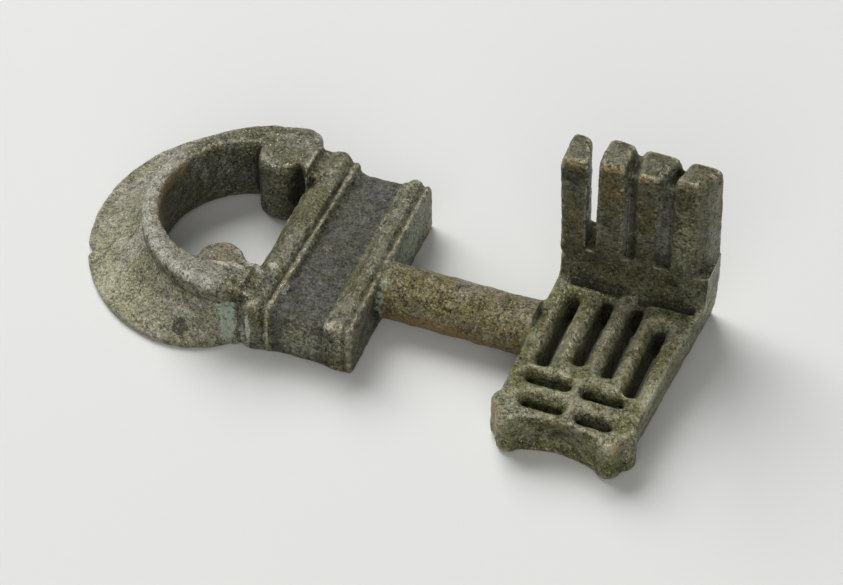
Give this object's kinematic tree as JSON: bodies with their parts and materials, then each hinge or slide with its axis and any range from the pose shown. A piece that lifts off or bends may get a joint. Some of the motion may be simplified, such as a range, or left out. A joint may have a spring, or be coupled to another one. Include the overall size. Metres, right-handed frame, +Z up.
{
  "type": "lift key",
  "caption": "Cast bronze lift key lying flat, with a pierced bow and flared skirt, a moulded collar, a round shank and a slotted bit plate with upright teeth.",
  "frame": {"origin": "middle of the collar's underside, on the face that the key rests on", "axes": "+X along the shank from the bow to the bit, +Z up, the way the teeth stand"},
  "size_m": [0.0724, 0.0382, 0.0235],
  "materials": {
    "skirt_bronze": "rough cast bronze, grey-green patina with pale verdigris",
    "rim_bronze": "cast bronze, worn and pitted, grey-brown patina",
    "collar_bronze": "cast bronze, dark olive-brown patina",
    "panel_bronze": "cast bronze, charcoal patina",
    "shank_bronze": "cast bronze, olive patina with fine worn streaks",
    "bit_bronze": "rough cast bronze, olive-green patina",
    "tooth_bronze": "rough cast bronze, dark olive patina, bright worn tips"
  },
  "bodies": {
    "root": {"bow_rim": "rim_bronze", "bow_skirt": "skirt_bronze", "collar_rear_moulding": "collar_bronze", "collar_panel": "panel_bronze", "collar_front_moulding": "collar_bronze", "shank": "shank_bronze", "bit_plate": "bit_bronze", "bit_corner_left": "bit_bronze", "bit_corner_right": "bit_bronze", "tooth_bar": "bit_bronze", "tooth_1": "tooth_bronze", "tooth_2": "tooth_bronze", "tooth_3": "tooth_bronze", "tooth_4": "tooth_bronze"}
  },
  "joints": []
}
